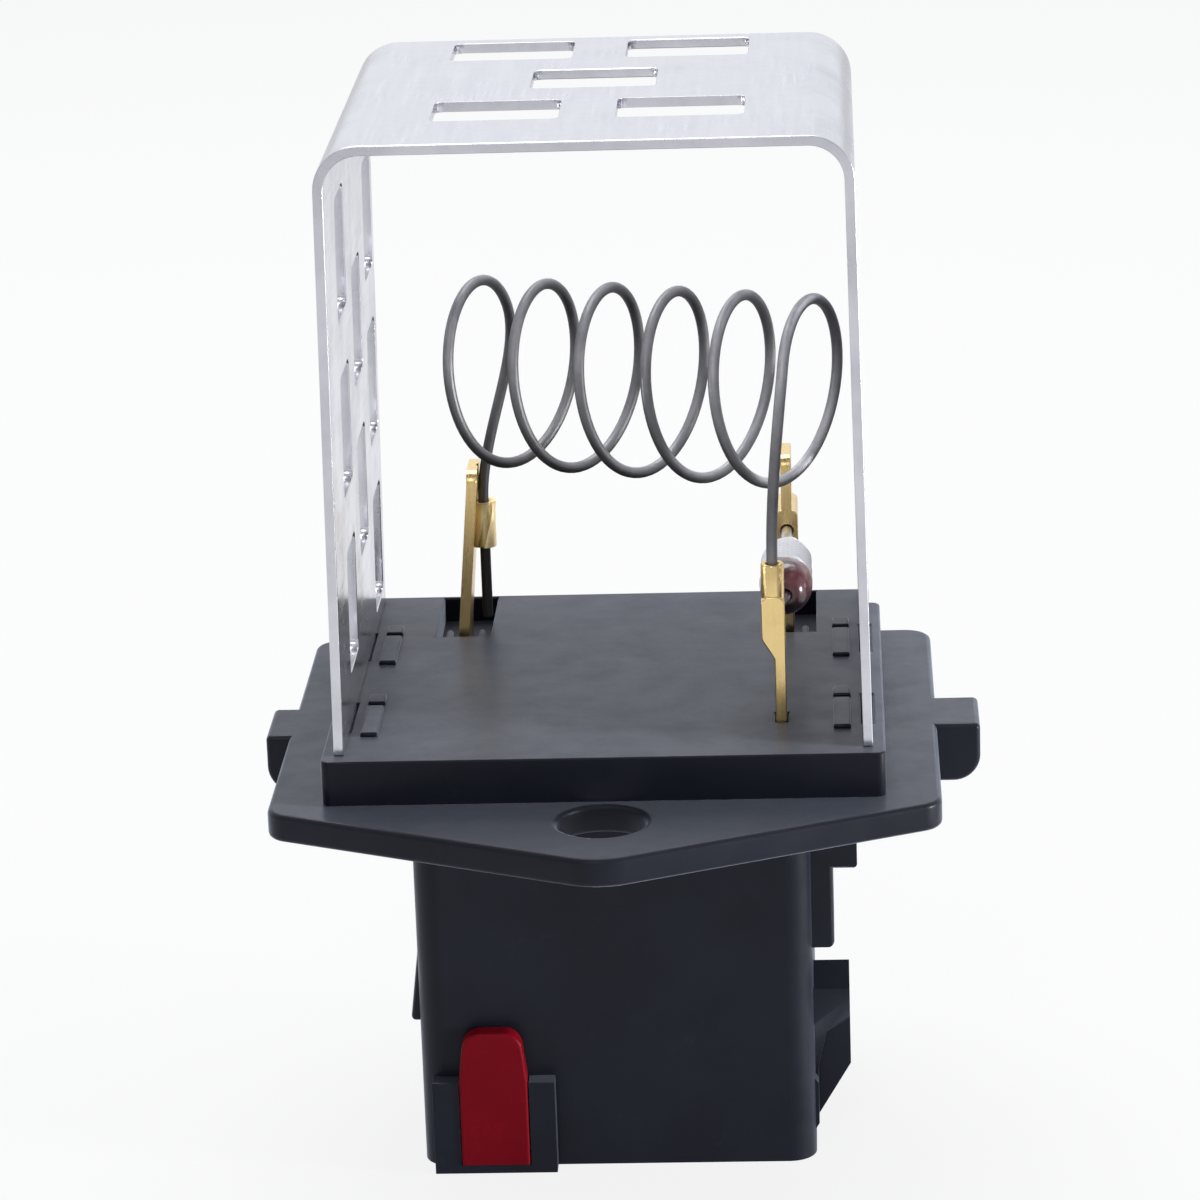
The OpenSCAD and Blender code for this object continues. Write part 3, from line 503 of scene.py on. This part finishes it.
def left_crimp():
    """Rolled wings round the left crimp's barrel.

    They flare in their top quarter, and their edges dip where they meet in a slanting seam.
    """
    bm = bmesh.new()
    rows, columns = 14, 56
    skins = []
    for base, shaped in ((CRIMP_R + WING_OUT, 1), (CRIMP_R - WING_IN, 0)):
        grid = []
        for i in range(rows + 1):
            s = i / rows
            flare = WING_FLARE * max(0.0, 4 * s - 3) ** 2
            start = WING_SEAM + WING_TWIST * (s - 0.5) + WING_GAP
            line = []
            for k in range(columns + 1):
                t = k / columns
                a = start + (2 * math.pi - 2 * WING_GAP) * t
                dip = WING_DIP * math.exp(-(min(t, 1 - t) / WING_DIP_SHARE) ** 2)
                r = base + shaped * (flare - dip)
                spot = Vector((r * math.cos(a), r * math.sin(a), -LEFT_CRIMP_H * (1 - s)))
                line.append(bm.verts.new((Vector(LEFT_CRIMP_TOP) + spot) * MM))
            grid.append(line)
        skins.append(grid)
    outer, inner = skins
    for i in range(rows):
        for k in range(columns):
            bm.faces.new((outer[i][k], outer[i][k + 1], outer[i + 1][k + 1], outer[i + 1][k]))
            bm.faces.new((inner[i][k], inner[i + 1][k], inner[i + 1][k + 1], inner[i][k + 1]))
        for k in (0, columns):
            bm.faces.new((outer[i][k], outer[i + 1][k], inner[i + 1][k], inner[i][k]))
    for k in range(columns):
        for i in (0, rows):
            bm.faces.new((outer[i][k], inner[i][k], inner[i][k + 1], outer[i][k + 1]))
    bmesh.ops.recalc_face_normals(bm, faces=bm.faces)
    finished(bm, "left_crimp", PAINTED_HIGHLIGHT_BRASS, "brass", "base")


# Coil along the same line as the source

def coil_line():
    """Points from the wire's tail up the left leg, along the helix and down into the front crimp."""
    axis = Vector((
        math.cos(COIL_TURN) * math.cos(COIL_TILT), -math.sin(COIL_TURN) * math.cos(COIL_TILT),
        math.sin(COIL_TILT),
    ))
    rear = Vector((math.sin(COIL_TURN), math.cos(COIL_TURN), 0))
    up = axis.cross(rear)

    def point(turns):
        a = 2 * math.pi * turns
        centre = Vector(COIL_MID) + axis * COIL_PITCH * (turns - COIL_TURNS / 2)
        return centre + COIL_R * (rear * math.cos(a) + up * math.sin(a))

    def heading(turns):
        a = 2 * math.pi * turns
        round_axis = 2 * math.pi * COIL_R * (up * math.cos(a) - rear * math.sin(a))
        return (axis * COIL_PITCH + round_axis).normalized()

    def leg(p, u, q, v, s):
        """Smooth curve from p, heading along u, to q, heading along v."""
        pull = (q - p).length
        return (
            p * (1 + 2 * s) * (1 - s) ** 2 + u * pull * s * (1 - s) ** 2
            + q * s * s * (3 - 2 * s) + v * pull * s * s * (s - 1)
        )

    left, front = Vector(LEFT_CRIMP_TOP), Vector(FRONT_CRIMP_TOP)
    rise, drop = Vector((0, 0, 1)), Vector((0, 0, -1))
    steps, rings = 24, 340
    end_round = 0.12
    first, last = COIL_LEAVE, COIL_TURNS - COIL_LEAVE
    tail = [Vector((left.x, left.y, WIRE_TAIL_Z + dz)) for dz in (0, end_round, 4, 8)]
    end = [Vector((front.x, front.y, FRONT_WIRE_END + dz)) for dz in (end_round, 0)]
    return (
        tail
        + [leg(left, rise, point(first), heading(first), i / steps) for i in range(steps)]
        + [point(first + (last - first) * i / rings) for i in range(rings + 1)]
        + [leg(point(last), heading(last), front, drop, i / steps) for i in range(1, steps + 1)]
        + end
    )


coil_wire(coil_line())

dressed("connector_housing", "housing_shell", HOUSING, "housing", HOUSING_ROUND)
dressed("terminal_plate", "plate_shell", PLATE, "plate", PLATE_ROUND)
dressed("guard", "guard_shell", GUARD, "guard", SHEET_ROUND)
for place in ("left", "front", "rear"):
    dressed(place + "_terminal", place + "_strip", BRASS, "brass", SHEET_ROUND)
left_crimp()
dressed("lock_slide", "lock_tongue", LOCK, "lock", LOCK_ROUND, body="lock")


# Thermal fuse: a dripped bead of resin and a sleeve with a frayed end

def ripple(depth, lobes, angle, lean, y, phase=0.0):
    """Waves round the fuse, from 0 to twice a depth, that lean along it."""
    return depth * (1 + math.sin(lobes * angle + lean * y + phase))


def bead_profile():
    """The bead from its nose to the sleeve: a dome, a short straight and a soft rear edge."""
    steps, fullness = 20, 0.85
    angles = [math.pi / 2 * i / steps for i in range(steps + 1)]
    reach = BEAD_R - LEAD_BORE_R
    dome = [
        (BEAD_FRONT + BEAD_NOSE * (1 - math.cos(a)), LEAD_BORE_R + reach * math.sin(a) ** fullness)
        for a in angles
    ]
    # Distances ahead of the sleeve, and shares of the bead's radius there
    rear_edge = ((0.8, 1.0), (0.3, 0.985), (0.07, 0.94), (0, 0.88))
    back = [(SLEEVE_FRONT - ahead, share * BEAD_R) for ahead, share in rear_edge]
    return dome + back + [(SLEEVE_FRONT, LEAD_BORE_R)]


def dripped(y, r, a):
    """Sags of the bead, none at the lead's bore."""
    if r < 1.2 * LEAD_BORE_R:
        return 0, 0
    sag = ripple(0.05, 2, a, 0.9, y, phase=0.6) + ripple(0.03, 5, a, -1.7, y)
    return 0, -sag * r / BEAD_R


def sleeve_profile():
    """The sleeve's wall, with soft outer rims."""
    rows = 24
    soft = 0.1
    straight = SLEEVE_BACK - SLEEVE_FRONT - 2 * soft
    run = [SLEEVE_FRONT + soft + straight * i / rows for i in range(rows + 1)]
    rim = SLEEVE_R - soft
    outer = [(SLEEVE_FRONT, rim)] + [(y, SLEEVE_R) for y in run] + [(SLEEVE_BACK, rim)]
    inner = [(SLEEVE_BACK, SLEEVE_BORE_R), (SLEEVE_FRONT, SLEEVE_BORE_R)]
    return outer + inner


def frayed(y, r, a):
    """A ragged back end, and shallow pinches on the outside."""
    fray_length = 1.5
    end = max(0.0, (y - SLEEVE_BACK + fray_length) / fray_length)
    ragged = 0.3 + 0.2 * math.sin(3 * a + 0.4) + 0.12 * math.sin(7 * a + 1.9) + 0.08 * math.sin(13 * a)
    pinch = ripple(0.03, 2, a, 1.1, y) + ripple(0.02, 6, a, -2.3, y)
    return -end * ragged, -pinch if r > SLEEVE_BORE_R else 0


turned(bead_profile(), dripped, "bead", RESIN, "resin", "fuse_bead")
turned(sleeve_profile(), frayed, "sleeve", SLEEVE, "sleeve", "fuse_sleeve")

for node, mat in (
    ("fuse_case", TINNED), ("fuse_front_lead", SMEARED), ("fuse_rear_lead", TINNED), ("fuse_contact", TINNED),
    ("fuse_spring", TINNED), ("fuse_bushing", CERAMIC), ("fuse_pellet", PELLET),
):
    nodes[node].data.materials.clear()
    nodes[node].data.materials.append(mat)


# Camera, floor and light

def camera():
    """The photograph's viewpoint."""
    flat = math.cos(CAMERA_PITCH)
    forward = Vector((math.sin(CAMERA_YAW) * flat, math.cos(CAMERA_YAW) * flat, -math.sin(CAMERA_PITCH)))
    level = Vector((math.cos(CAMERA_YAW), -math.sin(CAMERA_YAW), 0))
    above = level.cross(forward)
    right = math.cos(CAMERA_ROLL) * level + math.sin(CAMERA_ROLL) * above
    up = -math.sin(CAMERA_ROLL) * level + math.cos(CAMERA_ROLL) * above
    data = bpy.data.cameras.new("camera")
    data.sensor_width = SENSOR
    data.lens = FOCAL_PIXELS / PHOTO_PIXELS * SENSOR
    data.clip_start, data.clip_end = 0.01, 50
    made = bpy.data.objects.new("camera", data)
    scene.collection.objects.link(made)
    turn = Matrix((right, up, -forward)).transposed().to_4x4()
    made.matrix_world = Matrix.Translation(Vector(CAMERA_PLACE) * MM) @ turn
    scene.camera = made


def seen(tree, direct, mirrored):
    """Share of plain white for rays that show the background: straight, or mirrored or through glass."""
    ray = add(tree, "ShaderNodeLightPath").outputs
    bent = math_node(tree, "MAXIMUM", ray["Is Glossy Ray"], ray["Is Transmission Ray"])
    return math_node(
        tree, "MAXIMUM",
        math_node(tree, "MULTIPLY", ray["Is Camera Ray"], direct),
        math_node(tree, "MULTIPLY", bent, mirrored),
    )


def floor():
    """A wide pale floor that keeps the shadow."""
    mesh = bpy.data.meshes.new("floor")
    z = cad_box[0].z - FLOOR_GAP * MM
    corners = [(x * FLOOR_REACH, y * FLOOR_REACH, z) for x, y in ((-1, -1), (1, -1), (1, 1), (-1, 1))]
    mesh.from_pydata(corners, [], [(0, 1, 2, 3)])
    made = bpy.data.objects.new("floor", mesh)
    scene.collection.objects.link(made)
    mat, tree, shader = new_material("floor_white", Base_Color=(0.65, 0.65, 0.65, 1), Roughness=0.9)
    glow = add(tree, "ShaderNodeEmission", {"Color": (1, 1, 1, 1), "Strength": 1.0})
    share = seen(tree, direct=0.84, mirrored=0.35)
    both = add(
        tree, "ShaderNodeMixShader", {0: share, 1: shader.outputs["BSDF"], 2: glow.outputs["Emission"]}
    )
    tree.links.new(both.outputs["Shader"], tree.nodes["Material Output"].inputs["Surface"])
    mesh.materials.append(mat)


def lamp(name, place, aim, size, power, colour):
    """A round soft lamp that isn't seen itself."""
    data = bpy.data.lights.new(name, "AREA")
    data.shape = "DISK"
    data.size = size
    data.energy = power
    data.color = colour
    made = bpy.data.objects.new(name, data)
    scene.collection.objects.link(made)
    made.location = place
    made.rotation_euler = (Vector(aim) - Vector(place)).to_track_quat("-Z", "Y").to_euler()
    made.visible_camera = False


def surround():
    """White behind, dimmer in front, as in a light tent that is open towards the camera."""
    world = bpy.data.worlds.new("surround")
    scene.world = world
    world.use_nodes = True
    tree = world.node_tree
    tree.nodes.clear()
    direction = add(tree, "ShaderNodeTexCoord").outputs["Generated"]
    level = between(tree, axes_of(tree, direction)["Y"], 0.3, 0.95, start=-0.6, end=0.5)
    tent = add(tree, "ShaderNodeBackground", {"Color": (0.90, 0.93, 1.0, 1), "Strength": level})
    white = add(tree, "ShaderNodeBackground", {"Color": (1, 1, 1, 1), "Strength": 1.0})
    share = seen(tree, direct=1.0, mirrored=0.4)
    both = add(tree, "ShaderNodeMixShader", {0: share, 1: tent.outputs[0], 2: white.outputs[0]})
    out = add(tree, "ShaderNodeOutputWorld")
    tree.links.new(both.outputs[0], out.inputs["Surface"])


camera()
floor()
surround()
lamp("top_back", (-0.06, 0.30, 0.50), AIM, size=0.45, power=2.2, colour=(0.96, 0.97, 1.0))
lamp("front_left", (-0.09, -0.50, 0.42), AIM, size=0.20, power=0.5, colour=(1.0, 0.99, 0.98))
lamp("right_strip", (0.45, -0.10, 0.02), (0.018, 0.02, -0.02), size=0.10, power=2.4, colour=(1.0, 1.0, 1.0))
